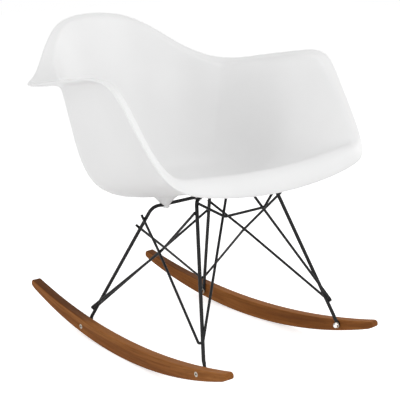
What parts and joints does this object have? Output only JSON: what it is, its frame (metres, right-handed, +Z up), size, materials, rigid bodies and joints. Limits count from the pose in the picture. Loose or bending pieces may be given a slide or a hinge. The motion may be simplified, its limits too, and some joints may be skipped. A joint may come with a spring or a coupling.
{
  "type": "rocking chair",
  "caption": "Moulded plastic armchair shell on a braced wire base with two curved wooden rockers.",
  "frame": {"origin": "on the floor, on the middle plane, midway between the points where the two rockers touch the floor", "axes": "+Z up, the chair faces -Y, +X is the sitter's left; the middle plane is X = 0"},
  "size_m": [0.6142, 0.7289, 0.6927],
  "materials": {
    "shell_plastic": "satin",
    "clip_plastic": "satin",
    "screw_steel": "brushed",
    "bolt_steel": "satin",
    "bright_nut": "polished",
    "black_rod": "satin",
    "rocker_wood": "satin"
  },
  "bodies": {
    "root": {"rocker_left": "rocker_wood", "rocker_right": "rocker_wood", "rear_frame": "black_rod", "front_frame": "black_rod", "brace_rear_left": "black_rod", "brace_front_left": "black_rod", "brace_rear_right": "black_rod", "brace_front_right": "black_rod", "front_cross_rod": "black_rod", "rocker_bolt_front_left": "bolt_steel", "rocker_bolt_front_right": "bolt_steel", "rocker_washer_front_left": "bolt_steel", "rocker_washer_front_right": "bolt_steel", "rocker_cap_nut_front_left": "bright_nut", "rocker_cap_nut_front_right": "bright_nut", "rocker_bolt_rear_left": "bolt_steel", "rocker_bolt_rear_right": "bolt_steel", "rocker_washer_rear_left": "bolt_steel", "rocker_washer_rear_right": "bolt_steel", "rocker_cap_nut_rear_left": "bright_nut", "rocker_cap_nut_rear_right": "bright_nut", "seat_shell": "shell_plastic", "frame_clip_rear_left": "clip_plastic", "frame_clip_rear_right": "clip_plastic", "clip_screws_rear_left": "screw_steel", "clip_screws_rear_right": "screw_steel", "frame_clip_front_left": "clip_plastic", "frame_clip_front_right": "clip_plastic", "clip_screws_front_left": "screw_steel", "clip_screws_front_right": "screw_steel"}
  },
  "joints": []
}
